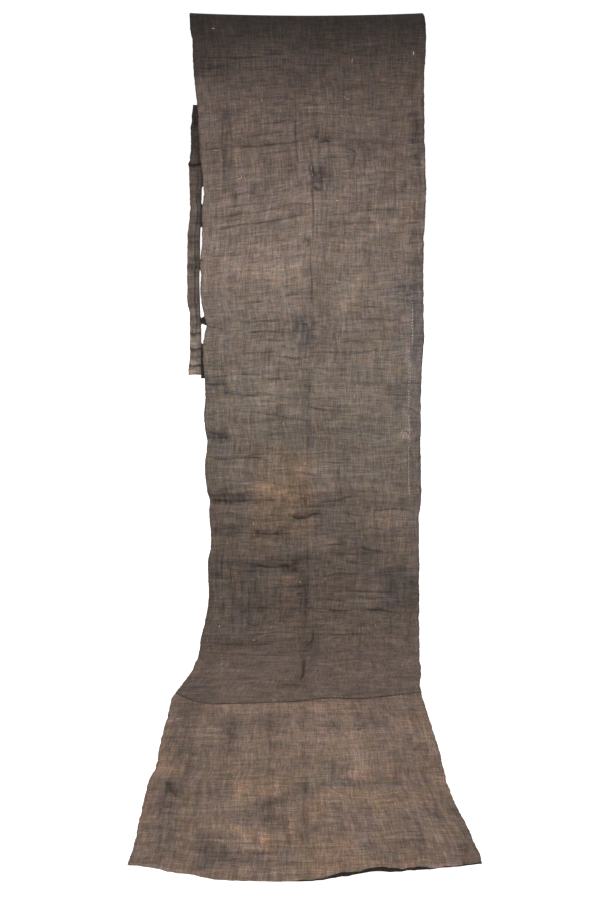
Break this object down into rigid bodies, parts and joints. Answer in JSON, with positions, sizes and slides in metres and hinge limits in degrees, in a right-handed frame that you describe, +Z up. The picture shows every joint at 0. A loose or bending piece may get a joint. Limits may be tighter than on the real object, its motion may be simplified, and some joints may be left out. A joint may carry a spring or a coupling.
{
  "type": "hanging raffia kuba cloth",
  "caption": "Long plain dark raffia cloth of sewn panels, folded over a line, hanging to the floor and sweeping forward along it.",
  "frame": {"origin": "underside of the top fold at mid width, where the hanging line bears", "axes": "+Z up, X across the cloth with +X to the right seen from the front, the front of the cloth and the part on the floor towards -Y"},
  "size_m": [0.8438, 1.5098, 2.1412],
  "materials": {
    "raffia_top": "matte raffia plain weave, dark grey brown",
    "raffia_front": "matte raffia plain weave, grey brown with tan and dark stains",
    "raffia_end": "matte raffia plain weave, lighter warm brown with dark stains",
    "raffia_back": "matte raffia plain weave, dark brown"
  },
  "bodies": {
    "root": {"panel_top": "raffia_top", "panel_upper": "raffia_front", "panel_middle": "raffia_front", "panel_sweep": "raffia_front", "panel_end": "raffia_end", "panel_back": "raffia_back", "side_band": "raffia_back"}
  },
  "joints": []
}
